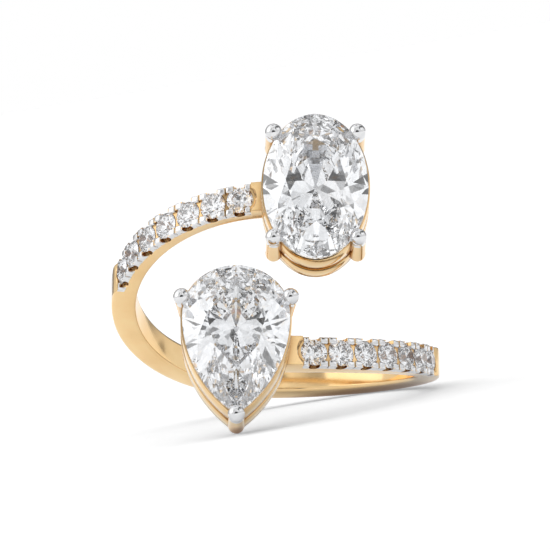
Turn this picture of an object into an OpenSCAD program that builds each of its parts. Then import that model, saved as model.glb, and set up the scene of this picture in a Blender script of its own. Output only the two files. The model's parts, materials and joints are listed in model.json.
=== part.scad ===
// Toi et moi ring: a bypass band with an oval and a pear diamond on its two ends.
// The ring is drawn round the finger's axis, Z, with both big stones facing -Y,
// and is then laid on its side as it comes to rest.

/* [Band] */
// Inside diameter of the finger hole, in mm
finger_d = 17; // [15.5:0.5:19]
// Thickness of the metal from the finger hole to the outer face
band_t = 1.5; // [1.4:0.05:1.7]
// Width of the band along the finger
band_w = 1.85; // [1.8:0.05:2.1]
// Height of each arm's end above or below the middle of the finger hole
arm_rise = 4.93; // [4.6:0.05:5.2]
// How late the arms begin to climb: 1 is an even tilt, more keeps the back lower
rise_power = 1.15; // [1:0.05:1.4]
// Bevel along both edges of the finger hole
inner_bevel = 0.22; // [0.15:0.01:0.3]
// Bevel along both outer edges of the plain shank
outer_bevel = 0.2; // [0.1:0.01:0.25]

/* [Arm stones] */
// Stones on each arm
arm_stones = 7; // [5:1:7]
// Diameter of an arm stone
arm_stone_d = 1.62; // [1.5:0.01:1.63]
// Turn round the finger from the front to the first arm stone, in degrees
first_stone_a = 13.2; // [13:0.1:14.5]
// Distance from the middle of one arm stone to the next, measured round their girdles
stone_pitch = 1.713; // [1.7:0.001:1.75]
// Depth of the bed that the arm stones stand in, below the outer face of the plain band
bed_depth = 0.22; // [0.1:0.01:0.25]

/* [Oval head] */
// Width of the oval diamond
oval_w = 6.3; // [5.8:0.05:6.5]
// Length of the oval diamond along the finger
oval_l = 9.2; // [8.6:0.05:9.4]
// Place of the oval diamond's middle across the ring
oval_x = 2.3; // [2.2:0.05:2.5]
// Place of the oval diamond's middle along the finger
oval_z = 4.4; // [4.3:0.05:4.6]

/* [Pear head] */
// Width of the pear diamond
pear_w = 6.4; // [6:0.05:6.5]
// Length of the pear diamond, from its round end to its point
pear_l = 9.35; // [9:0.05:9.5]
// Place of the pear diamond's middle line across the ring
pear_x = -2.45; // [-2.6:0.05:-2.4]
// Place of the pear diamond's round end along the finger
pear_top_z = -0.65; // [-0.8:0.05:-0.6]

/* [Baskets] */
// Distance of both girdles from the finger's axis
girdle_y = 12.9; // [12.8:0.05:13.1]
// Diameter of the prongs' shafts
prong_d = 0.94; // [0.9:0.02:1]
// Diameter of the prongs' ball tips
tip_d = 1.02; // [1.02:0.02:1.08]
// Wall of the two rails that run round each basket
rail_t = 0.55; // [0.5:0.05:0.65]

/* [Hidden] */
finger_r = finger_d / 2;
outer_r = finger_r + band_t;
half_w = band_w / 2;
bed_r = outer_r - bed_depth;

// The ring lies on its side: first rolled about its length, then pitched.
rest_roll = 10.39;
rest_pitch = -22.17;

// Where the arms climb fastest the finger hole is eased by a hundredth of a millimetre,
// from one turn to the other on each arm.
bore_ease = 0.01;
eased_reach = [60, 115];

// Gap between every stone and its seat.
seat_gap = 0.03;

// Arm stones: heights are measured from the girdle, which lies a little below the bed's face.
arm_girdle_h = 0.04;
arm_girdle_r = bed_r - 0.15;
arm_crown_h = 0.25;
arm_pavilion_h = 0.69;
arm_table_share = 0.57;
stone_pitch_a = stone_pitch / arm_girdle_r * 180 / PI;

// How far the cutting shapes stand out of the metal that they cut.
clear = 0.5;

// Little prongs stand in pairs between the arm stones. They are what is left of the bed
// once the seats, the channel along the middle and the side notches are cut.
prong_side_t = 0.37;
split_w = 0.09;
split_depth = 0.3;
end_share = 0.4;

// A U-shaped notch under each arm stone lets light into both sides of the band.
notch_r = 0.32;
notch_depth = 0.45;
notch_floor_r = bed_r - 0.5;

// Bright cut: a cone round the first arm stone, from the bed up to the outer face.
bright_cut_r = 1.08;
bright_cut_h = bed_depth;

// Past the front each arm runs on straight below its head, and a bridge ties it to the rail.
tail_l = 4.3;
bridge_l = 5.25;
bridge_w = 1.1;
bridge_y = [9.8, 10.35];

// The bed starts one single prong short of the first stone, with a step, and ends one past
// the last, with a ramp. The outer edges are square along it, and bevelled on the plain shank.
pave_start_a = first_stone_a - end_share * stone_pitch_a;
pave_end_a = first_stone_a + (arm_stones - 1 + end_share) * stone_pitch_a;
step_a = 0.3;
ramp_a = 2;
edge_fade_a = 6;
square_edge = 0.03;

// Big stones: heights from the girdle's middle.
crown_h = 0.95;
girdle_h = 0.24;
pavilion_h = 2.55;
oval_table_share = 0.57;
pear_table_share = 0.55;
star_share = 0.66;
half_share = 0.78;

// Baskets: two rails, each from its low to its high level above the finger's axis.
upper_rail_y = [11.4, girdle_y - 0.1];
lower_rail_y = [9.85, 11.08];
rail_proud = 0.1;
tip_y = girdle_y + 0.28;
foot_y = 10.42;
foot_d = 1;
oval_prong_x = 2.5;
oval_prong_z = 3.35;
pear_r = pear_w / 2;
pear_z = pear_top_z - pear_r;
pear_point = pear_l - pear_r;
pear_prong_x = 3.22;
pear_prong_z = 1.13;
pear_prong_proud = 0.03;
pear_point_z = pear_z - pear_point - pear_prong_proud;
// The pear's rails follow its outline at an even distance, which is longer at the point.
point_stretch = 1.4;
pear_rail_point = pear_point + point_stretch * rail_proud;
pear_foot_in = 0.3;
point_foot_in = 0.21;
pear_culet = -0.6;

ARMS = ["oval_arm", "pear_arm"];

// Height of the band's middle line at a turn of 0 to 360 degrees round the finger.
function climb(a) =
    let (h = arm_rise * pow((1 + cos(a)) / 2, rise_power)) a <= 180 ? -h : h;

// Outer edge's bevel at a turn round the finger.
function edge_bevel(a) =
    let (from_front = min(a, 360 - a), plain = (from_front - pave_end_a) / edge_fade_a)
    square_edge + (outer_bevel - square_edge) * min(1, max(0, plain));

// Distance of the outer face from the finger's axis at a turn round the finger.
function face_r(a) = let (from_front = min(a, 360 - a))
    from_front > pave_start_a - step_a / 2 && from_front < pave_end_a + ramp_a / 2
    ? bed_r : outer_r;

// One station of the band: shift along X, turn, bevel of its outer edges, and outer radius.
function station(shift, a) = [shift, a, edge_bevel(a), face_r(a)];

// The band's section: distance from its middle line, and distance from the finger's axis.
bore_stock = 0.2;
inner_run = inner_bevel + bore_stock;
function section(bevel, r) = [
    [-half_w, finger_r + inner_bevel], [-half_w, r - bevel],
    [-half_w + bevel, r], [half_w - bevel, r],
    [half_w, r - bevel], [half_w, finger_r + inner_bevel],
    [half_w - inner_run, finger_r - bore_stock],
    [-half_w + inner_run, finger_r - bore_stock]];

function ring_points(s) = [for (p = section(s[2], s[3]))
    [s[0] + p[1] * sin(s[1]), -p[1] * cos(s[1]), climb(s[1]) + p[0]]];

// Stations of the band, close together where its edges change and further apart between.
pave_steps = 14;
shank_steps = 40;
shank_start_a = pave_end_a + edge_fade_a;
arm_turns = concat([0, pave_start_a - step_a],
    [for (k = [0 : pave_steps]) pave_start_a + (pave_end_a - pave_start_a) * k / pave_steps],
    [pave_end_a + ramp_a]);
stations = concat(
    [station(-tail_l, 0)],
    [for (a = arm_turns) station(0, a)],
    [for (k = [0 : shank_steps])
        station(0, shank_start_a + (360 - 2 * shank_start_a) * k / shank_steps)],
    [for (i = [len(arm_turns) - 1 : -1 : 0]) station(0, 360 - arm_turns[i])],
    [station(tail_l, 360)]);

// A skin over rings of equal length, closed at both ends.
module loft(rings) {
    n = len(rings[0]);
    last = len(rings) - 1;
    sides = [for (k = [0 : last - 1]) for (i = [0 : n - 1]) let (j = (i + 1) % n)
        each [[k * n + i, k * n + j, (k + 1) * n + i],
              [k * n + j, (k + 1) * n + j, (k + 1) * n + i]]];
    caps = [[for (i = [n - 1 : -1 : 0]) i], [for (i = [0 : n - 1]) last * n + i]];
    polyhedron([for (r = rings) each r], concat(sides, caps), convexity = 6);
}

// Turns to a place on an arm: the turn from the front and the arm's side, 1 for the pear's arm.
module on_arm(side, a) {
    turn = side > 0 ? a : 360 - a;
    rotate([0, 0, turn]) translate([0, 0, climb(turn)]) children();
}

// Stands a shape that is drawn along +Z on the ring, facing -Y.
module face_front(x, y, z) {
    translate([x, -y, z]) rotate([90, 0, 0]) children();
}

// Brilliant cut. The outline is a function of a place t from 0 to 16 round the stone, and
// returns a point and its outward direction; kites and mains stand at the even places.
function cross_at(p, n, d1, q, m, d2) =
    let (k = n.x * m.y - n.y * m.x, e = n * p - d1, f = m * q - d2)
    [(e * m.y - n.y * f) / k, (n.x * f - e * m.x) / k];

// Height at a point (x, y) of the plane through three points.
function plane_z(a, b, c, x, y) =
    let (n = cross(b - a, c - a)) a.z - (n.x * (x - a.x) + n.y * (y - a.y)) / n.z;

function flat(p, z) = [p.x, p.y, z];

// Girdle edge of one half: the small facets' planes cut the outline, so it dips between them.
function girdle_edge(rim, parts, kites, edge) = [for (t = [0 : 16 * parts - 1])
    let (seat = floor(t / parts), main = floor(t / (2 * parts)),
         a = rim[seat * parts][0], b = rim[((seat + 1) % 16) * parts][0], p = rim[t][0])
    flat(p, t % parts == 0 ? edge
        : plane_z(kites[main], flat(a, edge), flat(b, edge), p.x, p.y))];

module brilliant(rim, parts, centre, table_share, crown, girdle, pavilion) {
    n = 16 * parts;
    mains = [for (i = [0 : 7]) rim[2 * i * parts]];
    table = [for (m = mains) centre + table_share * (m[0] - centre)];
    top = girdle / 2 + crown;
    low = -girdle / 2 - pavilion;
    upper = [for (i = [0 : 7]) let (j = (i + 1) % 8, b = mains[i], c = mains[j])
        flat(cross_at(b[0], b[1], star_share * (b[1] * (b[0] - table[i])),
                      c[0], c[1], star_share * (c[1] * (c[0] - table[j]))),
             girdle / 2 + crown * star_share)];
    lower = [for (i = [0 : 7]) let (j = (i + 1) % 8, b = mains[i], c = mains[j])
        flat(cross_at(b[0], b[1], half_share * (b[1] * (b[0] - centre)),
                      c[0], c[1], half_share * (c[1] * (c[0] - centre))),
             -girdle / 2 - pavilion * half_share)];
    points = concat([for (p = table) flat(p, top)], upper,
        girdle_edge(rim, parts, upper, girdle / 2),
        girdle_edge(rim, parts, lower, -girdle / 2), lower, [flat(centre, low)]);
    g = 16;
    h = g + n;
    q = h + n;
    culet = q + 8;
    faces = concat(
        [[for (i = [7 : -1 : 0]) i]],
        [for (i = [0 : 7]) [i, (i + 1) % 8, 8 + i]],
        [for (i = [0 : 7]) [i, 8 + i, g + 2 * i * parts, 8 + (i + 7) % 8]],
        [for (s = [0 : 15]) concat([8 + floor(s / 2)],
            [for (k = [parts : -1 : 0]) g + (s * parts + k) % n])],
        [for (t = [0 : n - 1]) [g + t, g + (t + 1) % n, h + (t + 1) % n, h + t]],
        [for (s = [0 : 15]) concat([q + floor(s / 2)],
            [for (k = [0 : parts]) h + (s * parts + k) % n])],
        [for (i = [0 : 7]) [culet, q + (i + 7) % 8, h + 2 * i * parts, q + i]]);
    polyhedron(points, faces, convexity = 2);
}

// Ellipse, counted round from its +X end.
function oval_rim(w, l, parts) = [for (t = [0 : 16 * parts - 1])
    let (a = 22.5 * t / parts, n = [cos(a) / w, sin(a) / l])
    [[w / 2 * cos(a), l / 2 * sin(a)], n / norm(n)]];

// Pear: a half circle above and two long arcs down to the point, counted round from the top.
function pear_place(t, r, point) =
    let (s = t <= 8 ? t : 16 - t, side = t <= 8 ? -1 : 1,
         side_r = (r * r + point * point) / (2 * r),
         a = s <= 4 ? 22.5 * s : asin(point / side_r) * (s - 4) / 4)
    s <= 4 ? [[side * r * sin(a), r * cos(a)], [side * sin(a), cos(a)]]
    : s == 8 ? [[0, -point], [0, -1]]
    : [[side * (r - side_r + side_r * cos(a)), -side_r * sin(a)], [side * cos(a), -sin(a)]];

function pear_rim(r, point, parts) = [for (t = [0 : 16 * parts - 1])
    pear_place(t / parts, r, point)];

module oval_cut(grow) {
    brilliant(oval_rim(oval_w + 2 * grow, oval_l + 2 * grow, 3), 3, [0, 0],
        oval_table_share, crown_h + grow, girdle_h, pavilion_h + grow);
}

module pear_cut(grow) {
    brilliant(pear_rim(pear_r + grow, pear_point + grow, 3), 3, [0, pear_culet],
        pear_table_share, crown_h + grow, girdle_h, pavilion_h + grow);
}

module arm_stone_cut() {
    brilliant(oval_rim(arm_stone_d, arm_stone_d, 2), 2, [0, 0],
        arm_table_share, arm_crown_h, arm_girdle_h, arm_pavilion_h);
}

// One stone of an arm, counted from the head.
module arm_stone(side, i) {
    on_arm(side, first_stone_a + (i - 1) * stone_pitch_a)
        face_front(0, arm_girdle_r, 0) arm_stone_cut();
}

// Seat of an arm stone: a cone for the pavilion and a straight wall above the girdle.
module arm_seat() {
    r = arm_stone_d / 2 + seat_gap;
    low = arm_girdle_h / 2 + arm_pavilion_h + 2 * seat_gap;
    rotate_extrude($fn = 48) polygon([[0, -low], [r, -arm_girdle_h / 2 - seat_gap],
        [r, clear], [0, clear]]);
}

// Notch: a U that opens outwards, cut into one side of the band.
module notch() {
    top = outer_r + clear - notch_floor_r;
    linear_extrude(height = notch_depth + clear)
        polygon(concat([[notch_r, top], [-notch_r, top]],
            [for (a = [180 : 22.5 : 360]) [notch_r * cos(a), notch_r + notch_r * sin(a)]]));
}

// Channel along the middle of an arm from its first stone to its last, down to the girdles.
module channel(side) {
    w = half_w - prong_side_t;
    top_r = outer_r + clear;
    reach = (arm_stones - 1) * stone_pitch_a;
    rings = [for (k = [0 : pave_steps])
        let (t = first_stone_a + reach * k / pave_steps, a = side > 0 ? t : 360 - t)
        [for (p = [[-w, arm_girdle_r], [-w, top_r], [w, top_r], [w, arm_girdle_r]])
            [p[1] * sin(a), -p[1] * cos(a), climb(a) + side * p[0]]]];
    loft(rings);
}

// The bright cut is the part of a cone round the first stone's seat that lies towards the head.
module bright_cut(side) {
    reach = 3;
    edge = (first_stone_a - pave_start_a) * outer_r * PI / 180;
    on_arm(side, first_stone_a) face_front(0, outer_r - bright_cut_h, 0) intersection() {
        cylinder(r1 = arm_stone_d / 2, r2 = 2 * bright_cut_r - arm_stone_d / 2,
            h = 2 * bright_cut_h, $fn = 48);
        translate([side > 0 ? -edge - reach : edge, -reach / 2, 0]) cube(reach);
    }
}

module arm_cuts(side) {
    channel(side);
    for (i = [0 : arm_stones - 1]) {
        on_arm(side, first_stone_a + i * stone_pitch_a) {
            face_front(0, arm_girdle_r, 0) arm_seat();
            for (edge = [0, 1])
                mirror([0, 0, edge]) translate([0, -notch_floor_r, half_w - notch_depth])
                    mirror([0, 1, 0]) notch();
        }
    }
    for (i = [1 : arm_stones - 1])
        on_arm(side, first_stone_a + (i - 0.5) * stone_pitch_a)
            translate([-split_w / 2, -outer_r - clear, -band_w])
                cube([split_w, clear + bed_depth + split_depth, 2 * band_w]);
    bright_cut(side);
}

// Eases the finger hole over part of its turn.
module eased_bore(side) {
    reach = 20;
    step = (eased_reach[1] - eased_reach[0]) / 2;
    intersection() {
        cylinder(r = finger_r + bore_ease, h = 2 * reach, center = true, $fn = 180);
        translate([0, 0, -reach]) linear_extrude(height = 2 * reach)
            polygon(concat([[0, 0]], [for (k = [0 : 2]) let (a = eased_reach[0] + k * step)
                2 * reach * [side * sin(a), -cos(a)]]));
    }
}

module rail(outer, inner, levels) {
    rotate([90, 0, 0]) translate([0, 0, levels[0]])
        linear_extrude(height = levels[1] - levels[0]) difference() {
            polygon([for (p = outer) p[0]]);
            polygon([for (p = inner) p[0]]);
        }
}

// Prong from its foot to its ball tip, both given as [x, distance from the axis, z].
module prong(foot, tip) {
    a = [foot.x, -foot.y, foot.z];
    b = [tip.x, -tip.y, tip.z];
    d = b - a;
    translate(a) sphere(d = foot_d, $fn = 48);
    translate(b) sphere(d = tip_d, $fn = 48);
    translate(a) rotate([0, acos(d.z / norm(d)), atan2(d.y, d.x)])
        cylinder(d = prong_d, h = norm(d), $fn = 48);
}

module bridge(side, z) {
    translate([side > 0 ? -bridge_l : 0, -bridge_y[1], z - bridge_w / 2])
        cube([bridge_l, bridge_y[1] - bridge_y[0], bridge_w]);
}

module oval_basket() {
    wall = 2 * rail_proud;
    outer = oval_rim(oval_w + wall, oval_l + wall, 3);
    inner = oval_rim(oval_w + wall - 2 * rail_t, oval_l + wall - 2 * rail_t, 3);
    for (levels = [upper_rail_y, lower_rail_y])
        translate([oval_x, 0, oval_z]) rail(outer, inner, levels);
    for (sx = [-1, 1]) for (sz = [-1, 1]) {
        x = oval_x + sx * oval_prong_x;
        z = oval_z + sz * oval_prong_z;
        prong([x, foot_y, z], [x, tip_y, z]);
    }
    bridge(-1, arm_rise);
}

module pear_basket() {
    outer = pear_rim(pear_r + rail_proud, pear_rail_point, 3);
    inner = pear_rim(pear_r + rail_proud - rail_t, pear_point - point_stretch * rail_t, 3);
    for (levels = [upper_rail_y, lower_rail_y])
        translate([pear_x, 0, pear_z]) rail(outer, inner, levels);
    for (sx = [-1, 1])
        prong([pear_x + sx * (pear_prong_x - pear_foot_in), foot_y, pear_z + pear_prong_z],
              [pear_x + sx * pear_prong_x, tip_y, pear_z + pear_prong_z]);
    prong([pear_x, foot_y, pear_point_z + point_foot_in], [pear_x, tip_y, pear_point_z]);
    bridge(1, -arm_rise);
}

module ring_metal() color("#e9c27e") difference() {
    union() {
        loft([for (s = stations) ring_points(s)]);
        oval_basket();
        pear_basket();
    }
    cylinder(r = finger_r, h = 4 * finger_r, center = true, $fn = 180);
    for (side = [-1, 1]) {
        eased_bore(side);
        arm_cuts(side);
    }
    face_front(oval_x, girdle_y, oval_z) oval_cut(seat_gap);
    face_front(pear_x, girdle_y, pear_z) pear_cut(seat_gap);
}

module oval_diamond() color("#eef3f7") face_front(oval_x, girdle_y, oval_z) oval_cut(0);

module pear_diamond() color("#eef3f7") face_front(pear_x, girdle_y, pear_z) pear_cut(0);

// Turns a point of the upright ring to where it is once the ring lies on its side.
function laid(p) =
    let (x = cos(rest_roll) * p.x + sin(rest_roll) * p.z,
         z = cos(rest_roll) * p.z - sin(rest_roll) * p.x)
    [x, cos(rest_pitch) * p.y - sin(rest_pitch) * z, sin(rest_pitch) * p.y + cos(rest_pitch) * z];

// The ring rests on its shank and on the pear's lower rail, and its footprint runs from the
// pear's point prong to the back of the shank.
laid_band = [for (s = stations) each [for (p = ring_points(s)) laid(p)]];
rail_point = laid([pear_x, -lower_rail_y[0], pear_z - pear_rail_point]);
front_tip = laid([pear_x, -tip_y, pear_point_z]);
low_z = min(rail_point.z, min([for (p = laid_band) p.z]));
front_y = front_tip.y - tip_d / 2;
back_y = max([for (p = laid_band) p.y]);

// Lays the ring on its side, with the middle of its footprint at the origin.
module at_rest() {
    translate([0, -(front_y + back_y) / 2, -low_z])
        rotate([rest_pitch, 0, 0]) rotate([0, rest_roll, 0]) children();
}

at_rest() ring_metal();
at_rest() oval_diamond();
at_rest() pear_diamond();
for (k = [0, 1]) for (i = [1 : arm_stones])
    at_rest() color("#f4f6f8") arm_stone(2 * k - 1, i);
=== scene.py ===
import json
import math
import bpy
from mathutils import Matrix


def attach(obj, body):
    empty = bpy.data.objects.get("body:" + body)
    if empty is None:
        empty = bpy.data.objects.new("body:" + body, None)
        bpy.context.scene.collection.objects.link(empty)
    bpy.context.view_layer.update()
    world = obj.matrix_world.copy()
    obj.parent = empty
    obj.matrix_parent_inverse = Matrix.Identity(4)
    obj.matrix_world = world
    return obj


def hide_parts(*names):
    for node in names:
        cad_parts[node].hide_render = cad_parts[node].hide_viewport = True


bl_info = {
    "name": "Toi et Moi Ring",
    "version": (1, 0, 0),
    "blender": (4, 5, 0),
    "location": "View3D > Sidebar > Ring",
    "description": "Dresses a toi et moi ring: bypass band, baskets, prongs, diamonds and its studio",
    "category": "Object",
}

import bmesh
import bpy
from mathutils import Matrix, Vector

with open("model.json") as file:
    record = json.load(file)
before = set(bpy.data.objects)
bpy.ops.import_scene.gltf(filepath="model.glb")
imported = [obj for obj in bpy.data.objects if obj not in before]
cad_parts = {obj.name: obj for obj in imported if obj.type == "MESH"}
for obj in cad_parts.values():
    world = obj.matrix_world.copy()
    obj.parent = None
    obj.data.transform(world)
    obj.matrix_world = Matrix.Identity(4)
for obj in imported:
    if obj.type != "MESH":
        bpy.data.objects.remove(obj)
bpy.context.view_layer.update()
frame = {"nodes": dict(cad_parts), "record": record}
MM = 0.001
HOLE = next(m for m in frame["record"]["mounts"] if m["name"] == "finger_hole")
STONES = [name for name in frame["nodes"] if name != "ring_metal"]


def mm(name, default, words):
    """A length property. The script's sizes are in millimetres, Blender's in metres."""
    return bpy.props.FloatProperty(
        name=name, description=words, default=default * MM, unit="LENGTH", precision=5
    )


def tint(name, default, words):
    return bpy.props.StringProperty(name=name, description=words, default=default)


class RingSizes(bpy.types.PropertyGroup):
    """Sizes of the band, its arms and the small stones' settings."""

    finger_d: mm("Finger hole", 17, "Inside diameter")
    band_t: mm("Thickness", 1.5, "From the finger hole to the outer face")
    band_w: mm("Width", 1.85, "Band's width along the finger")
    arm_rise: mm("Arm rise", 4.93, "Height of an arm's end from the ring's middle")
    edge: mm("Shank edge", 0.24, "Round along the outer edges of the plain shank")
    comfort: mm("Comfort edge", 0.22, "Round along the edges of the finger hole")
    bed_deep: mm("Bed", 0.22, "Depth of the arm stones' bed below the plain outer face")
    stone_d: mm("Arm stone", 1.62, "Diameter of an arm stone")
    stone_deep: mm("Girdle depth", 0.15, "Depth of the arm stones' girdles below their bed")
    pitch: mm("Stone spacing", 1.713, "From one arm stone to the next, round their girdles")
    notch_r: mm("Notch", 0.32, "Radius of the U cut under each arm stone")
    notch_deep: mm("Notch floor", 0.5, "Depth of the U cut below the bed")
    notch_in: mm("Notch reach", 0.45, "How far the U cut runs into the band's side")
    plate_deep: mm("Plated wall", 0.42, "How far the rhodium runs down the band's sides")
    tail: mm("Tail", 4.3, "How far an arm runs on under its head")
    rise_power: bpy.props.FloatProperty(
        name="Rise power", description="How late the arms climb", default=1.15
    )
    stones: bpy.props.IntProperty(name="Stones", description="Stones on each arm", default=7)
    first_turn: bpy.props.FloatProperty(
        name="First stone", description="Turn from the front to the first stone",
        default=math.radians(13.2), subtype="ANGLE",
    )


class HeadSizes(bpy.types.PropertyGroup):
    """Sizes of the two baskets."""

    girdle: mm("Girdle", 12.9, "Distance of both girdles from the finger's axis")
    oval_w: mm("Oval width", 6.3, "Width of the oval diamond")
    oval_l: mm("Oval length", 9.2, "Length of the oval diamond")
    oval_x: mm("Oval across", 2.3, "Oval's middle across the ring")
    oval_z: mm("Oval along", 4.4, "Oval's middle along the finger")
    pear_r: mm("Pear radius", 3.2, "Radius of the pear's round end")
    pear_point: mm("Pear point", 6.15, "From the middle of the round end to the point")
    pear_x: mm("Pear across", -2.45, "Pear's middle line across the ring")
    pear_z: mm("Pear along", -3.85, "Middle of the pear's round end along the finger")
    prong_d: mm("Prong", 0.96, "Diameter of a prong's shaft")
    tip_d: mm("Prong tip", 1.02, "Diameter of a prong's ball tip")
    rail_t: mm("Rail", 0.55, "Wall of the rails")


class Finishes(bpy.types.PropertyGroup):
    """Colours and finishes."""

    gold: tint("Gold", "#F2D29E", "Polished yellow gold")
    gold_deep: tint("Gold, deep", "#EAC58E", "Gold where it is a little less bright")
    # Painted shade: this darker brown is mixed into the gold's colour where ambient occlusion finds narrow
    # hollows, and stands in for the shade that falls there.
    gold_painted_shade: tint("Gold, hollow", "#A3713C", "Gold in narrow hollows")
    rhodium: tint("Rhodium", "#E3E3E4", "Rhodium plate on the prongs")
    rhodium_dim: tint("Rhodium, dim", "#D5D6D8", "Rhodium where it is a little less bright")
    diamond: tint("Diamond", "#FBFCFE", "Colourless diamond")
    diamond_cool: tint("Diamond, cool", "#F3F6FA", "Diamond with a breath of blue")
    floor: tint("Floor", "#F0F0F0", "Studio floor")
    floor_pale: tint("Floor, pale", "#F6F6F6", "Studio floor where it is paler")
    floor_glow: bpy.props.FloatProperty(
        name="Floor glow", description="Light that keeps the open floor white", default=0.32
    )
    polish: bpy.props.FloatProperty(
        name="Polish", description="Roughness of the polished gold", default=0.13, subtype="FACTOR"
    )


# Places on the ring. The upright ring is drawn in millimetres with the finger along Z and
# the big stones facing -Y; a turn is counted from the front towards +X.


def ring_place():
    """Matrix from the upright ring, in millimetres, to the ring as it lies, in metres."""
    axis = Vector(HOLE["axis"])
    tip = Matrix.Rotation(-math.atan2(axis.y, axis.z), 4, "X")
    turn = tip @ Matrix.Rotation(math.asin(axis.x), 4, "Y")
    return Matrix.Translation(HOLE["pos_m"]) @ turn @ Matrix.Scale(MM, 4)


def climb(sizes, turn):
    """Height of the pear's arm at a turn of 0 to half round; the oval's arm mirrors it."""
    return -sizes.arm_rise / MM * ((1 + math.cos(turn)) / 2) ** sizes.rise_power


def on_arm(sizes, side, turn, radius, across=0.0):
    """Matrix to a place on an arm: X runs away from the head, Y across, Z out of the ring."""
    lift = Matrix.Translation((0, -radius, climb(sizes, turn) + across))
    place = Matrix.Rotation(turn, 4, "Z") @ lift @ Matrix.Rotation(math.pi / 2, 4, "X")
    return place if side > 0 else Matrix.Rotation(math.pi, 4, "Y") @ place


def outer_radius(sizes):
    return (sizes.finger_d / 2 + sizes.band_t) / MM


def bed_radius(sizes):
    return outer_radius(sizes) - sizes.bed_deep / MM


def stone_turn(sizes, i, along=0.0):
    """Turn to stone i, counted from the head, or to a place so many millimetres past it."""
    girdle = bed_radius(sizes) - sizes.stone_deep / MM
    return sizes.first_turn + (i * sizes.pitch / MM + along) / girdle


def pave_reach(sizes):
    """Turns from the front to the ends of the stones' bed, a share of their spacing past the end ones."""
    past = 0.4
    return stone_turn(sizes, -past), stone_turn(sizes, sizes.stones - 1 + past)


def clamped(value):
    """The value, kept between 0 and 1."""
    return min(1, max(0, value))


# Mesh helpers.

CRISP = math.radians(35)  # faces that meet at more than this keep a crisp edge
WELD = 1e-5  # points nearer than this many millimetres are one


def only(kind, geom):
    """The verts or edges of an operator's result."""
    return [g for g in geom if isinstance(g, kind)]


def finished(name, bm, materials):
    """Lays a mesh of millimetres where the ring lies, smooths its soft edges and rides it on the body."""
    bmesh.ops.transform(bm, matrix=ring_place(), verts=bm.verts)
    for face in bm.faces:
        face.smooth = True
    for edge in bm.edges:
        edge.smooth = len(edge.link_faces) == 2 and edge.calc_face_angle(math.pi) < CRISP
    mesh = bpy.data.meshes.new(name)
    bm.to_mesh(mesh)
    bm.free()
    for material in materials:
        mesh.materials.append(material)
    piece = bpy.data.objects.new(name, mesh)
    bpy.context.scene.collection.objects.link(piece)
    normals = piece.modifiers.new("Even shading", "WEIGHTED_NORMAL")
    normals.keep_sharp = True
    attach(piece, "root")
    return piece


def add_swept(bm, loops):
    """A tube-like wall through closed loops of points; the last loop meets the first again."""
    place = bm.verts.layers.int.get("place") or bm.verts.layers.int.new("place")
    verts = [bm.verts.new(p) for p in loops[0]]
    for i, vert in enumerate(verts):
        vert[place] = i
    edges = [bm.edges.new((verts[i - 1], verts[i])) for i in range(len(verts))]
    for points in (*loops[1:], loops[0]):
        made = bmesh.ops.extrude_edge_only(bm, edges=edges)["geom"]
        moved = set(only(bmesh.types.BMVert, made))
        for vert in moved:
            vert.co = points[vert[place]]
        edges = [e for e in only(bmesh.types.BMEdge, made) if set(e.verts) <= moved]
    bmesh.ops.remove_doubles(bm, verts=bm.verts, dist=WELD)
    bmesh.ops.recalc_face_normals(bm, faces=bm.faces)


def add_cylinder(bm, place, radius, low, high, top=None, segments=32):
    """A closed cylinder or cone along the place's Z, from low to high."""
    shift = Matrix.Translation((0, 0, (low + high) / 2))
    bmesh.ops.create_cone(
        bm, cap_ends=True, segments=segments, radius1=radius, radius2=radius if top is None else top,
        depth=high - low, matrix=place @ shift,
    )


def add_block(bm, place, size, middle=(0, 0, 0)):
    scale = Matrix.Diagonal((*size, 1))
    return bmesh.ops.create_cube(bm, size=1, matrix=place @ Matrix.Translation(middle) @ scale)["verts"]


def add_rounded_block(bm, place, size, edge, segments=2):
    verts = add_block(bm, place, size)
    edges = list({e for v in verts for e in v.link_edges})
    bmesh.ops.bevel(
        bm, geom=edges, offset=edge, segments=segments, profile=0.5, affect="EDGES", material=-1
    )


def cut(bm, cutters):
    """The mesh less every closed shell of cutters, as a new mesh."""
    objects = []
    for name, part in (("cut body", bm), ("cutters", cutters)):
        mesh = bpy.data.meshes.new(name)
        part.to_mesh(mesh)
        part.free()
        objects.append(bpy.data.objects.new(name, mesh))
        bpy.context.scene.collection.objects.link(objects[-1])
    body, tool = objects
    step = body.modifiers.new("Cut", "BOOLEAN")
    step.operation, step.solver, step.object, step.use_self = "DIFFERENCE", "EXACT", tool, True
    done = bpy.data.meshes.new_from_object(body.evaluated_get(bpy.context.evaluated_depsgraph_get()))
    result = bmesh.new()
    result.from_mesh(done)
    for thing in objects:
        mesh = thing.data
        bpy.data.objects.remove(thing)
        bpy.data.meshes.remove(mesh)
    bpy.data.meshes.remove(done)
    if not result.faces:
        raise RuntimeError("a cut left nothing of the piece")
    return result


# Materials.


def linear(hexed):
    """sRGB hex to linear colour."""
    parts = [int(hexed[i : i + 2], 16) / 255 for i in (1, 3, 5)]
    return (*(c / 12.92 if c <= 0.04045 else ((c + 0.055) / 1.055) ** 2.4 for c in parts), 1)


def node(tree, kind, links=None, settings=None, **fields):
    """Adds a node; links and settings go by socket name or number."""
    made = tree.nodes.new(kind)
    for name, value in fields.items():
        setattr(made, name, value)
    for key, value in (settings or {}).items():
        made.inputs[key].default_value = value
    for key, source in (links or {}).items():
        tree.links.new(source, made.inputs[key])
    return made


def start_material(name):
    material = bpy.data.materials.new(name)
    material.use_nodes = True
    tree = material.node_tree
    tree.nodes.clear()
    return material, tree, node(tree, "ShaderNodeTexCoord").outputs["Object"]


def end_material(tree, links, settings):
    skin = node(tree, "ShaderNodeBsdfPrincipled", links=links, settings=settings)
    node(tree, "ShaderNodeOutputMaterial", links={"Surface": skin.outputs[0]})


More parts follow.
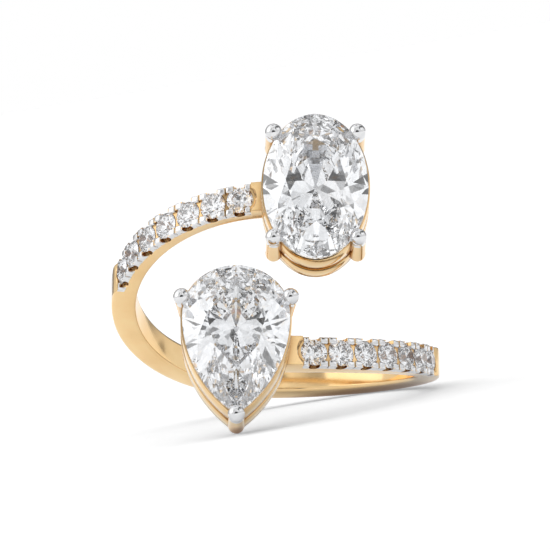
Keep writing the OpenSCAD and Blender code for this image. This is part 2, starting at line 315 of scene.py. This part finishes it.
def noise(tree, where, size, detail):
    """Noise in patches of about so many millimetres."""
    settings = {"Scale": 1 / (size * MM), "Detail": detail}
    return node(tree, "ShaderNodeTexNoise", {"Vector": where}, settings).outputs[0]


def ramp(tree, source, low, high, first, last):
    """Fades from the first colour to the last one while the source goes from low to high."""
    made = node(tree, "ShaderNodeValToRGB", links={0: source})
    made.color_ramp.elements[0].position = low
    made.color_ramp.elements[1].position = high
    made.color_ramp.elements[0].color = first
    made.color_ramp.elements[1].color = last
    return made.outputs[0]


def polished_gold(finishes):
    """14 carat yellow gold, cast, filed and buffed: mirror bright with a breath of buffing haze."""
    material, tree, where = start_material("14 carat yellow gold, buffed")
    cloud, haze = noise(tree, where, 2.5, 3), noise(tree, where, 0.25, 2)
    buffed = ramp(tree, cloud, 0.35, 0.7, linear(finishes.gold), linear(finishes.gold_deep))
    # Painted shade: ambient occlusion within 0.55 mm blends the gold's colour towards the darker brown in
    # narrow hollows and crevices, and stands in for the shade that falls there.
    occlusion_shade = node(tree, "ShaderNodeAmbientOcclusion", settings={"Distance": 0.55 * MM}, samples=4)
    painted_shade_mask = node(
        tree, "ShaderNodeMapRange", {"Value": occlusion_shade.outputs["AO"]}, {"From Min": 0.3, "From Max": 0.9}
    )
    colour = node(
        tree, "ShaderNodeMix", {0: painted_shade_mask.outputs[0], 7: buffed}, {6: linear(finishes.gold_painted_shade)},
        data_type="RGBA",
    ).outputs[2]
    dull = node(
        tree, "ShaderNodeMapRange", {"Value": haze},
        {"To Min": finishes.polish - 0.04, "To Max": finishes.polish + 0.05},
    )
    bump = node(tree, "ShaderNodeBump", {"Height": haze}, {"Strength": 0.05, "Distance": 0.004 * MM})
    links = {"Base Color": colour, "Roughness": dull.outputs[0], "Normal": bump.outputs[0]}
    end_material(tree, links, {"Metallic": 1.0})
    return material


def rhodium_plate(finishes):
    """Rhodium plate over the gold: whiter and harder looking than silver, mirror bright."""
    material, tree, where = start_material("Rhodium plate on gold")
    haze = noise(tree, where, 0.3, 2)
    colour = ramp(tree, haze, 0.3, 0.75, linear(finishes.rhodium), linear(finishes.rhodium_dim))
    dull = node(tree, "ShaderNodeMapRange", {"Value": haze}, {"To Min": 0.06, "To Max": 0.14})
    end_material(tree, {"Base Color": colour, "Roughness": dull.outputs[0]}, {"Metallic": 1.0})
    return material


def cut_diamond(finishes):
    """Colourless diamond, cut and polished: its very high index makes facets flash white and near black."""
    material, tree, where = start_material("Colourless diamond")
    cloud = noise(tree, where, 3, 2)
    colour = ramp(tree, cloud, 0.3, 0.7, linear(finishes.diamond), linear(finishes.diamond_cool))
    end_material(
        tree, {"Base Color": colour}, {"Roughness": 0.0, "IOR": 2.417, "Transmission Weight": 1.0}
    )
    return material


def finish_of(name):
    """The ring's finishes, each made once."""
    made = {"gold": polished_gold, "rhodium": rhodium_plate, "diamond": cut_diamond}
    key = "ring " + name
    if key not in bpy.data.materials:
        made[name](bpy.context.scene.ring_finishes).name = key
    return bpy.data.materials[key]


# Operators.


class RING_OT_band(bpy.types.Operator):
    """Make the bypass band, with its notched and seated arms"""

    bl_idname = "ring.band"
    bl_label = "Band"

    # The half band.
    STATIONS = 144  # sections along it
    STEP = 0.005  # turn, in radians, over which the bed's near end drops
    RAMP = math.radians(2)  # turn over which the bed's far end climbs back
    FADE = math.radians(6)  # turn past the bed over which the shank's round edges begin
    ARM_EDGE = 0.03  # round along the arms' outer edges
    ROUND = ((0, 1), (0.12, 0.45), (0.45, 0.12), (1, 0))  # points of a round, in shares of its size

    # The cutters. Heights and depths are counted from the bed.
    CLEAR = 0.4  # how far they stand out over the bed
    OVER = 0.2  # how far they stand out of the band's sides
    SEAT_GAP = 0.03  # room round a stone in its seat
    SEAT_LEDGE = 0.2  # depth at which a seat begins to narrow
    SEAT_POINT = (0.02, 0.92)  # radius and depth of its lowest end
    OVERLAP = 0.001  # between a seat's cone and its cylinder
    LIP = 0.37  # wall between the channel and the band's side
    CHANNEL_DEEP = 0.15  # channel from seat to seat
    SEAT_CUT = 0.1  # how much longer than the stones' spacing the channel's blocks are
    SLIT = (0.05, 0.5, 0.3)  # slit between two little prongs: width, reach across and depth
    BRIGHT = ((0.86, -0.02), (1.16, 0.3))  # radii and heights of the bright cut before the first stone
    BRIGHT_BACK = 0.1  # from the first stone's middle towards the head
    NOTCH_TALL = 1  # how far a notch's cutter runs up from the middle of its round floor

    # The rhodium.
    NEAR_SIDE = 0.04  # a face this near the band's side belongs to it
    WALL_FOOT = 0.01  # the side's rhodium begins this far over the plated wall's foot
    TAIL_SKIN = 0.03  # a face this near the tail's outer side belongs to that side
    TAIL_START = 0.5  # the head covers the tail from here on, across the ring

    def section(self, sizes, turn):
        """Points of the band's section, across and out, at a turn from the front."""
        half, inner, soft = sizes.band_w / MM / 2, sizes.finger_d / MM / 2, sizes.comfort / MM
        start, end = pave_reach(sizes)
        sunk = clamped((turn - start) / self.STEP + 1) - clamped((turn - end) / self.RAMP)
        outer = outer_radius(sizes) - sunk * sizes.bed_deep / MM
        edge = self.ARM_EDGE + (sizes.edge / MM - self.ARM_EDGE) * clamped((turn - end) / self.FADE)
        side = [(half - a * soft, inner + b * soft) for a, b in reversed(self.ROUND)]
        side.append((half, outer - sizes.plate_deep / MM))
        side += [(half - a * edge, outer - b * edge) for a, b in self.ROUND]
        return side + [(-h, r) for h, r in reversed(side)]

    def half_band(self, sizes):
        """The pear's arm, its tail under the head, and half of the shank."""
        bm = bmesh.new()
        place = bm.verts.layers.int.new("place")
        start = [bm.verts.new((0, -r, h)) for h, r in self.section(sizes, 0)]
        for i, vert in enumerate(start):
            vert[place] = i
        edges = [bm.edges.new((start[i - 1], start[i])) for i in range(len(start))]
        bmesh.ops.spin(
            bm, geom=start + edges, cent=(0, 0, 0), axis=(0, 0, 1), angle=math.pi, steps=self.STATIONS
        )
        # Two neighbouring stations move to the ends of the bed's steep step.
        bed_start = pave_reach(sizes)[0]
        before = math.floor(bed_start / math.pi * self.STATIONS)
        moved_to = {before: bed_start - self.STEP, before + 1: bed_start}
        for vert in bm.verts:
            turn = math.atan2(max(0.0, vert.co.x), -vert.co.y)
            turn = moved_to.get(round(turn / math.pi * self.STATIONS), turn)
            across, radius = self.section(sizes, turn)[vert[place]]
            vert.co = (radius * math.sin(turn), -radius * math.cos(turn), climb(sizes, turn) + across)
        front = [e for e in bm.edges if all(abs(v.co.x) < WELD and v.co.y < 0 for v in e.verts)]
        tail = bmesh.ops.extrude_edge_only(bm, edges=front)["geom"]
        moved = only(bmesh.types.BMVert, tail)
        bmesh.ops.translate(bm, verts=moved, vec=(-sizes.tail / MM, 0, 0))
        end = [e for e in only(bmesh.types.BMEdge, tail) if all(v in moved for v in e.verts)]
        bmesh.ops.contextual_create(bm, geom=end)
        return bm

    def add_slot(self, bm, place, length, width, deep, across=0.0):
        """A block from so deep below the bed to well above it."""
        middle = (0, across, (self.CLEAR - deep) / 2)
        add_block(bm, place, (length, width, self.CLEAR + deep), middle)

    def add_notch(self, bm, sizes, side, turn, edge):
        """A U cut into one of the band's sides."""
        radius, reach = sizes.notch_r / MM, sizes.notch_in / MM + self.OVER
        out = bed_radius(sizes) - sizes.notch_deep / MM + radius
        place = on_arm(sizes, side, turn, out, edge * (sizes.band_w / MM / 2 + self.OVER - reach / 2))
        add_cylinder(bm, place @ Matrix.Rotation(math.pi / 2, 4, "X"), radius, -reach / 2, reach / 2)
        add_block(bm, place, (2 * radius, reach, self.NOTCH_TALL), (0, 0, self.NOTCH_TALL / 2))

    def cutters(self, sizes):
        """Seats, notches, channel, slits and bright cut of both arms."""
        bm = bmesh.new()
        bed = bed_radius(sizes)
        seat_r = sizes.stone_d / MM / 2 + self.SEAT_GAP
        inside = sizes.band_w / MM / 2 - self.LIP
        point_r, point_deep = self.SEAT_POINT
        slit_w, slit_reach, slit_deep = self.SLIT
        (bright_r, bright_low), (bright_top_r, bright_high) = self.BRIGHT
        for side in (-1, 1):
            for i in range(sizes.stones):
                turn = stone_turn(sizes, i)
                seat = on_arm(sizes, side, turn, bed)
                add_cylinder(bm, seat, point_r, -point_deep, -self.SEAT_LEDGE, top=seat_r)
                add_cylinder(bm, seat, seat_r, -self.SEAT_LEDGE - self.OVERLAP, self.CLEAR)
                for edge in (-1, 1):
                    self.add_notch(bm, sizes, side, turn, edge)
            for i in range(sizes.stones - 1):
                between = on_arm(sizes, side, stone_turn(sizes, i + 0.5), bed)
                self.add_slot(bm, between, sizes.pitch / MM + self.SEAT_CUT, 2 * inside, self.CHANNEL_DEEP)
                for edge in (-1, 1):
                    middle = edge * (inside + slit_reach / 2)
                    self.add_slot(bm, between, slit_w, slit_reach, slit_deep, middle)
            first = on_arm(sizes, side, sizes.first_turn, bed)
            back = first @ Matrix.Translation((-self.BRIGHT_BACK, 0, 0))
            add_cylinder(bm, back, bright_r, bright_low, bright_high, top=bright_top_r, segments=48)
        return bm

    def plated(self, sizes, middle):
        """Whether a face of the band wears rhodium: on the stones' side walls and under the heads."""
        start, end = pave_reach(sizes)
        turn = math.atan2(abs(middle.x), -middle.y)
        across = abs(middle.z - climb(sizes, turn) * (1 if middle.x > 0 else -1))
        wall_foot = bed_radius(sizes) - sizes.plate_deep / MM + self.WALL_FOOT
        on_side = abs(across - sizes.band_w / MM / 2) < self.NEAR_SIDE
        wall = on_side and math.hypot(middle.x, middle.y) > wall_foot and start < turn < end
        covered = middle.x < self.TAIL_START if middle.z < 0 else middle.x > -self.TAIL_START
        return wall or covered and middle.y < self.TAIL_SKIN - outer_radius(sizes)

    def execute(self, context):
        sizes = context.scene.ring_sizes
        bm = self.half_band(sizes)
        other = bmesh.ops.duplicate(bm, geom=bm.verts[:] + bm.edges[:] + bm.faces[:])["geom"]
        bmesh.ops.rotate(
            bm, verts=only(bmesh.types.BMVert, other), cent=(0, 0, 0),
            matrix=Matrix.Rotation(math.pi, 3, "Y"),
        )
        bmesh.ops.remove_doubles(bm, verts=bm.verts, dist=WELD)
        bmesh.ops.recalc_face_normals(bm, faces=bm.faces)
        bm = cut(bm, self.cutters(sizes))
        for face in bm.faces:
            face.material_index = 1 if self.plated(sizes, face.calc_center_median()) else 0
        piece = finished("band", bm, [finish_of("gold"), finish_of("rhodium")])
        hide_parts("ring_metal")
        return {"FINISHED"}


class RING_OT_arm_prongs(bpy.types.Operator):
    """Make the little prongs that stand in pairs between the arm stones"""

    bl_idname = "ring.arm_prongs"
    bl_label = "Arm prongs"

    WIDE, TALL = 0.42, 0.5  # across and out
    SUNK = 0.22  # a prong's middle below the bed
    IN = 0.2  # a prong's middle from the band's side
    EDGE = 0.1  # round along its edges
    END_LONG, END_PAST = 0.38, 0.52  # a single end prong: length, and from the end stone's middle
    LONG, APART = 0.52, 0.275  # one of a pair: length, and from the pair's middle

    def execute(self, context):
        sizes = context.scene.ring_sizes
        bm = bmesh.new()
        half = sizes.band_w / MM / 2
        prongs = [
            (stone_turn(sizes, 0, -self.END_PAST), self.END_LONG),
            (stone_turn(sizes, sizes.stones - 1, self.END_PAST), self.END_LONG),
        ]
        for i in range(sizes.stones - 1):
            prongs += [(stone_turn(sizes, i + 0.5, shift), self.LONG) for shift in (-self.APART, self.APART)]
        for side in (-1, 1):
            for turn, length in prongs:
                for edge in (-1, 1):
                    place = on_arm(sizes, side, turn, bed_radius(sizes) - self.SUNK, edge * (half - self.IN))
                    add_rounded_block(bm, place, (length, self.WIDE, self.TALL), self.EDGE, 3)
        finished("arm_prongs", bm, [finish_of("rhodium")])
        return {"FINISHED"}


def oval_outline(heads, grow, count=96):
    a, b = heads.oval_w / MM / 2 + grow, heads.oval_l / MM / 2 + grow
    turns = [2 * math.pi * i / count for i in range(count)]
    return [(heads.oval_x / MM + a * math.cos(t), heads.oval_z / MM + b * math.sin(t)) for t in turns]


def pear_outline(heads, grow, count=32):
    """Half circle above and two long arcs down to the point."""
    # The point grows by more than the sides do, as the arcs meet there at a slant.
    r, point = heads.pear_r / MM + grow, heads.pear_point / MM + 1.4 * grow
    side_r = (r * r + point * point) / (2 * r)
    turns = [math.asin(point / side_r) * i / count for i in range(1, count + 1)]
    top = [(r * math.cos(t), r * math.sin(t)) for t in (math.pi * i / count for i in range(count + 1))]
    arcs = [(r - side_r + side_r * math.cos(t), -side_r * math.sin(t)) for t in turns]
    left = [(-x, z) for x, z in arcs]
    points = top + left + arcs[-2::-1]
    return [(heads.pear_x / MM + x, heads.pear_z / MM + z) for x, z in points]


RAIL_OUT = 0.1  # how far the rails' outsides stand out from the stones' girdles
UPPER_FOOT, LOWER_TOP, LOWER_FOOT = 11.43, 11.0, 9.85  # the rails' faces, from the finger's axis


def soft_corner(grow, out, inwards, up, size):
    """Three points of a rail's soft corner, from its wall to its face; inwards and up are 1 or -1."""
    begin, middle = size
    mid_point = (grow + inwards * middle, out + up * middle)
    return [(grow, out + up * begin), mid_point, (grow + inwards * begin, out)]


def rail_sections(heads):
    """Upper and lower rail, as points (grown from the stone's outline, distance from the finger's axis)."""
    girdle, outside = heads.girdle / MM, RAIL_OUT
    inside = outside - heads.rail_t / MM
    # A soft corner's size: where it begins, and how deep its middle lies.
    small, large = (0.07, 0.02), (0.14, 0.05)
    # The upper rail has a rounded rim and slopes inwards under the girdle, as the stone's seat.
    upper = [
        (outside, girdle - 0.2), (outside - 0.04, girdle - 0.12), (outside - 0.1, girdle - 0.1),
        (-0.03, girdle - 0.15), (inside, girdle - 0.56),
        *soft_corner(inside, UPPER_FOOT, 1, 1, small),
        *reversed(soft_corner(outside, UPPER_FOOT, -1, 1, small)),
    ]
    lower = [
        *soft_corner(outside, LOWER_TOP, -1, -1, small),
        *reversed(soft_corner(inside, LOWER_TOP, 1, -1, small)),
        *soft_corner(inside, LOWER_FOOT, 1, 1, large),
        *reversed(soft_corner(outside, LOWER_FOOT, -1, 1, large)),
    ]
    return upper, lower


class RING_OT_baskets(bpy.types.Operator):
    """Make the two baskets: rails and bridges"""

    bl_idname = "ring.baskets"
    bl_label = "Baskets"

    BRIDGE = (5.25, 0.55, 1.1)  # along the arm, out, and along the finger
    BRIDGE_OUT = 10.075  # its middle from the finger's axis
    BRIDGE_EDGE = 0.08  # round along its edges
    MIDDLE = 1.2  # a face this near a basket's middle is inside it
    FACING = 0.5  # so is one that faces the middle by at least this cosine
    LEVEL = 0.9  # a face whose normal points out of the ring at least this much lies level
    BRIDGE_TOP = 10.5  # level faces below this, from the finger's axis, are the bridge's

    def plated(self, face, middle):
        """Whether a face wears rhodium: inside a basket, or on its bridge and facing the stone."""
        centre = face.calc_center_median()
        inwards = middle - centre.xz
        inside = inwards.length < self.MIDDLE or face.normal.xz.dot(inwards.normalized()) > self.FACING
        return inside or face.normal.y < -self.LEVEL and abs(centre.y) < self.BRIDGE_TOP

    def execute(self, context):
        heads, rise = context.scene.ring_heads, context.scene.ring_sizes.arm_rise / MM
        for name, outline, side in (("oval_basket", oval_outline, -1), ("pear_basket", pear_outline, 1)):
            bm = bmesh.new()
            for section in rail_sections(heads):
                add_swept(bm, [[(x, -out, z) for x, z in outline(heads, grow)] for grow, out in section])
            place = Matrix.Translation((-side * self.BRIDGE[0] / 2, -self.BRIDGE_OUT, -side * rise))
            add_rounded_block(bm, place, self.BRIDGE, self.BRIDGE_EDGE)
            bmesh.ops.recalc_face_normals(bm, faces=bm.faces)
            middle = Vector([sum(p) / len(p) for p in zip(*outline(heads, 0))])
            for face in bm.faces:
                face.material_index = 1 if self.plated(face, middle) else 0
            finished(name, bm, [finish_of("gold"), finish_of("rhodium")])
        return {"FINISHED"}


class RING_OT_prongs(bpy.types.Operator):
    """Make the seven prongs that hold the big stones"""

    bl_idname = "ring.prongs"
    bl_label = "Prongs"

    FOOT_R, FOOT_DEEP, FOOT_HIGH = 0.5, 0.55, 0.05  # round foot: radius, depth, and its wide end's height
    SHAFT_LOW = 0.3  # height at which the foot has become the shaft
    NECK = 0.58  # from the ball's middle down to the shaft's upper end
    PLATED = 0.6  # from the ball's middle down to the end of the rhodium
    FOOT_OUT = 10.42  # the feet from the finger's axis
    TIP_HIGH = 0.28  # the balls' middles over the girdles
    OVAL_AT = (2.5, 3.35)  # the oval's prongs from its middle, across and along the finger
    PEAR_FOOT, PEAR_TIP, PEAR_UP = 2.92, 3.22, 1.13  # its side prongs: across at foot and tip, and along
    POINT_TIP, POINT_FOOT = 0.03, 0.21  # the point's prong: its tip past the point, and its foot's way back
    FOOT_STEPS, BALL_STEPS, TURN_STEPS = 8, 12, 32  # along the foot's and the ball's rounds, and around

    def prong(self, heads, foot, tip):
        """A prong from its foot to its ball tip, both (x, out, z); its top wears rhodium."""
        a, b = Vector((foot[0], -foot[1], foot[2])), Vector((tip[0], -tip[1], tip[2]))
        length, shaft_r, tip_r = (b - a).length, heads.prong_d / MM / 2, heads.tip_d / MM / 2
        profile = []
        for i in range(self.FOOT_STEPS + 1):
            t = math.pi / (2 * self.FOOT_STEPS) * i
            profile.append((self.FOOT_R * math.sin(t), self.FOOT_HIGH - self.FOOT_DEEP * math.cos(t)))
        profile += [(shaft_r, self.SHAFT_LOW), (shaft_r, length - self.NECK)]
        low = -math.acos(shaft_r / tip_r)
        turns = [low + (math.pi / 2 - low) * i / self.BALL_STEPS for i in range(self.BALL_STEPS + 1)]
        profile += [(tip_r * math.cos(t), length + tip_r * math.sin(t)) for t in turns]
        bm = bmesh.new()
        verts = [bm.verts.new((max(0.0, r), 0, h)) for r, h in profile]
        edges = [bm.edges.new(pair) for pair in zip(verts, verts[1:])]
        bmesh.ops.spin(
            bm, geom=verts + edges, cent=(0, 0, 0), axis=(0, 0, 1), angle=2 * math.pi,
            steps=self.TURN_STEPS, use_merge=True,
        )
        bmesh.ops.remove_doubles(bm, verts=bm.verts, dist=WELD)
        bmesh.ops.recalc_face_normals(bm, faces=bm.faces)
        for face in bm.faces:
            face.material_index = 1 if face.calc_center_median().z > length - self.PLATED else 0
        turn = (b - a).to_track_quat("Z", "Y").to_matrix().to_4x4()
        bmesh.ops.transform(bm, matrix=Matrix.Translation(a) @ turn, verts=bm.verts)
        return bm

    def execute(self, context):
        heads = context.scene.ring_heads
        tip, foot = heads.girdle / MM + self.TIP_HIGH, self.FOOT_OUT
        ox, oz, px, pz = (v / MM for v in (heads.oval_x, heads.oval_z, heads.pear_x, heads.pear_z))
        point, up = pz - heads.pear_point / MM - self.POINT_TIP, pz + self.PEAR_UP
        ends = {}
        for label, sx, sz in (("a", -1, 1), ("b", 1, 1), ("c", -1, -1), ("d", 1, -1)):
            x, z = ox + self.OVAL_AT[0] * sx, oz + self.OVAL_AT[1] * sz
            ends["oval_prong_" + label] = ((x, foot, z), (x, tip, z))
        for label, sx in (("a", -1), ("b", 1)):
            ends["pear_prong_" + label] = (
                (px + self.PEAR_FOOT * sx, foot, up), (px + self.PEAR_TIP * sx, tip, up)
            )
        ends["pear_prong_c"] = ((px, foot, point + self.POINT_FOOT), (px, tip, point))
        for name, (low, high) in ends.items():
            finished(name, self.prong(heads, low, high), [finish_of("gold"), finish_of("rhodium")])
        return {"FINISHED"}


class RING_OT_stones(bpy.types.Operator):
    """Give every diamond its material"""

    bl_idname = "ring.stones"
    bl_label = "Diamonds"

    def execute(self, context):
        for name in STONES:
            stone = frame["nodes"][name]
            stone.data.materials.clear()
            stone.data.materials.append(finish_of("diamond"))
        return {"FINISHED"}


class RING_OT_studio(bpy.types.Operator):
    """Make the floor, the lights and the camera"""

    bl_idname = "ring.studio"
    bl_label = "Studio"

    DISTANCE, LENS, SENSOR = 433, 464.6, 36  # the camera's, in millimetres
    LOW, YAW, ROLL = (math.radians(a) for a in (20.09, 0.63, 0.24))  # how it is turned to the upright ring
    AIM_UP, AIM_RIGHT = 3.355, -0.017  # where it aims, in millimetres from the ring's middle
    # Name, place and size in metres, and power in watts.
    BOXES = (
        ("key box", (-0.05, 0.12, 0.5), (0.5, 0.5), 0.2),
        ("side box", (0.4, -0.1, 0.3), (0.3, 0.3), 0.1),
    )
    LIT = (0, 0, 0.008)  # the place that both boxes face
    FLOOR_HALF = 3  # half the floor's width, in metres
    DARK, WHITE = (0.06, 0.06, 0.06, 1), (0.9, 0.9, 0.9, 1)  # the sky's own dark cards, and the rest
    BOUNCES = 24  # light turns many times inside a diamond; with fewer turns its middle goes black

    def floor(self, finishes):
        bm = bmesh.new()
        bmesh.ops.create_grid(bm, x_segments=1, y_segments=1, size=self.FLOOR_HALF)
        mesh = bpy.data.meshes.new("floor")
        bm.to_mesh(mesh)
        bm.free()
        material, tree, where = start_material("Matt white studio floor")
        grain = noise(tree, where, 1.5, 2)
        colour = ramp(tree, grain, 0.3, 0.7, linear(finishes.floor), linear(finishes.floor_pale))
        # A matt floor with a little light of its own has no horizon in the picture.
        end_material(tree, {"Base Color": colour}, {
            "Roughness": 0.6, "Specular IOR Level": 0.0,
            "Emission Color": (1, 1, 1, 1), "Emission Strength": finishes.floor_glow,
        })
        mesh.materials.append(material)
        floor = bpy.data.objects.new("floor", mesh)
        bpy.context.scene.collection.objects.link(floor)

    def light(self, name, place, size, power):
        """A soft box that faces the ring."""
        lamp = bpy.data.lights.new(name, "AREA")
        lamp.shape, lamp.size, lamp.size_y, lamp.energy = "RECTANGLE", size[0], size[1], power
        box = bpy.data.objects.new(name, lamp)
        box.location = place
        box.rotation_euler = (Vector(self.LIT) - Vector(place)).to_track_quat("-Z", "Y").to_euler()
        bpy.context.scene.collection.objects.link(box)

    def camera(self, context):
        """The photograph's view: a long lens far off, 20 degrees below the upright ring's level."""
        low, yaw, roll = self.LOW, self.YAW, self.ROLL
        ahead = Vector((math.sin(yaw) * math.cos(low), math.cos(yaw) * math.cos(low), math.sin(low)))
        right = Vector((math.cos(yaw), -math.sin(yaw), 0))
        up = right.cross(ahead)
        right, up = (
            right * math.cos(roll) - up * math.sin(roll),
            right * math.sin(roll) + up * math.cos(roll),
        )
        eye = ahead * -self.DISTANCE
        aim = (up * self.AIM_UP + right * self.AIM_RIGHT - eye).normalized()
        right = aim.cross(up).normalized()
        up = right.cross(aim)
        turn = Matrix((right, up, -aim)).transposed().to_4x4()
        place = ring_place()
        data = bpy.data.cameras.new("photograph's view")
        data.sensor_width, data.lens = self.SENSOR, self.LENS
        data.clip_start, data.clip_end = 0.01, 50
        camera = bpy.data.objects.new("photograph's view", data)
        camera.matrix_world = Matrix.Translation(place @ eye) @ place.to_3x3().normalized().to_4x4() @ turn
        context.scene.collection.objects.link(camera)
        context.scene.camera = camera

    def card(self, tree, where, towards, wide, soft):
        """How far a direction is outside a round card: 0 on it, 1 off it."""
        near = node(
            tree, "ShaderNodeVectorMath", {0: where}, {1: towards.normalized()}, operation="DOT_PRODUCT"
        )
        return node(
            tree, "ShaderNodeMapRange", {"Value": near.outputs["Value"]},
            {"From Min": math.cos(wide), "From Max": math.cos(wide + soft)}, interpolation_type="SMOOTHSTEP",
        ).outputs[0]

    def sky(self, context):
        """White studio all round; dark and bright cards give the facets and the gold their tones."""
        world = bpy.data.worlds.new("studio")
        world.use_nodes = True
        tree = world.node_tree
        tree.nodes.clear()
        where = node(tree, "ShaderNodeTexCoord").outputs["Generated"]
        front = context.scene.camera.location - ring_place().translation
        patches = node(tree, "ShaderNodeTexNoise", {"Vector": where}, {"Scale": 2.1, "Detail": 0.0})
        cards = ramp(tree, patches.outputs[0], 0.36, 0.41, self.DARK, self.WHITE)
        # Each card's direction, its radius and soft edge in degrees, and its brightness.
        for towards, wide, soft, bright in (
            (-front, 30, 35, 0.34),  # dim end of the studio behind the ring
            (Vector((0.1, -0.74, 0.67)), 14, 6, 1.12),  # soft box over the arms' faces
            (Vector((0, -0.74, 0.67)), 4, 3, 0.3),  # grey flag that the big stones' tables mirror
            (Vector((-0.5, -0.5, 0.69)), 3, 14, 0.5),  # grey flag beside the inner shank's box
            (Vector((-0.816, -0.071, 0.574)), 27, 1.5, 1.6),  # hard edged box that the inner shank mirrors
            (front, 21, 5, 0.03),  # black card round the camera
        ):
            off = self.card(tree, where, towards, math.radians(wide), math.radians(soft))
            shade = (bright, bright, bright, 1)
            cards = node(tree, "ShaderNodeMix", {0: off, 7: cards}, {6: shade}, data_type="RGBA").outputs[2]
        seen = node(tree, "ShaderNodeLightPath").outputs["Is Camera Ray"]
        mix = node(tree, "ShaderNodeMix", {0: seen, 6: cards}, {7: (1, 1, 1, 1)}, data_type="RGBA")
        sky = node(tree, "ShaderNodeBackground", {"Color": mix.outputs[2]}, {"Strength": 1.0})
        node(tree, "ShaderNodeOutputWorld", {"Surface": sky.outputs[0]})
        context.scene.world = world

    def execute(self, context):
        self.floor(context.scene.ring_finishes)
        for box in self.BOXES:
            self.light(*box)
        self.camera(context)
        self.sky(context)
        context.scene.view_settings.view_transform = "Standard"
        cycles = context.scene.cycles
        cycles.max_bounces = cycles.glossy_bounces = cycles.transmission_bounces = self.BOUNCES
        # Without the metal's own light on the floor the shadow stays neutral, as a large studio's is.
        cycles.caustics_reflective = cycles.caustics_refractive = False
        return {"FINISHED"}


class RING_PT_panel(bpy.types.Panel):
    """Steps that dress the ring"""

    bl_idname = "RING_PT_panel"
    bl_label = "Toi et Moi Ring"
    bl_space_type = "VIEW_3D"
    bl_region_type = "UI"
    bl_category = "Ring"

    def draw(self, context):
        for group in (context.scene.ring_sizes, context.scene.ring_heads, context.scene.ring_finishes):
            for name in group.__annotations__:
                self.layout.prop(group, name)
        for step in STEPS:
            self.layout.operator(step.bl_idname)


STEPS = (RING_OT_band, RING_OT_arm_prongs, RING_OT_baskets, RING_OT_prongs, RING_OT_stones, RING_OT_studio)
GROUPS = {"ring_sizes": RingSizes, "ring_heads": HeadSizes, "ring_finishes": Finishes}


def register():
    for kind in (*GROUPS.values(), *STEPS, RING_PT_panel):
        bpy.utils.register_class(kind)
    for name, kind in GROUPS.items():
        setattr(bpy.types.Scene, name, bpy.props.PointerProperty(type=kind))


def unregister():
    for name in GROUPS:
        delattr(bpy.types.Scene, name)
    for kind in reversed((*GROUPS.values(), *STEPS, RING_PT_panel)):
        bpy.utils.unregister_class(kind)


def main():
    register()
    for step in STEPS:
        group, name = step.bl_idname.split(".")
        getattr(getattr(bpy.ops, group), name)()


if __name__ == "__main__":
    main()
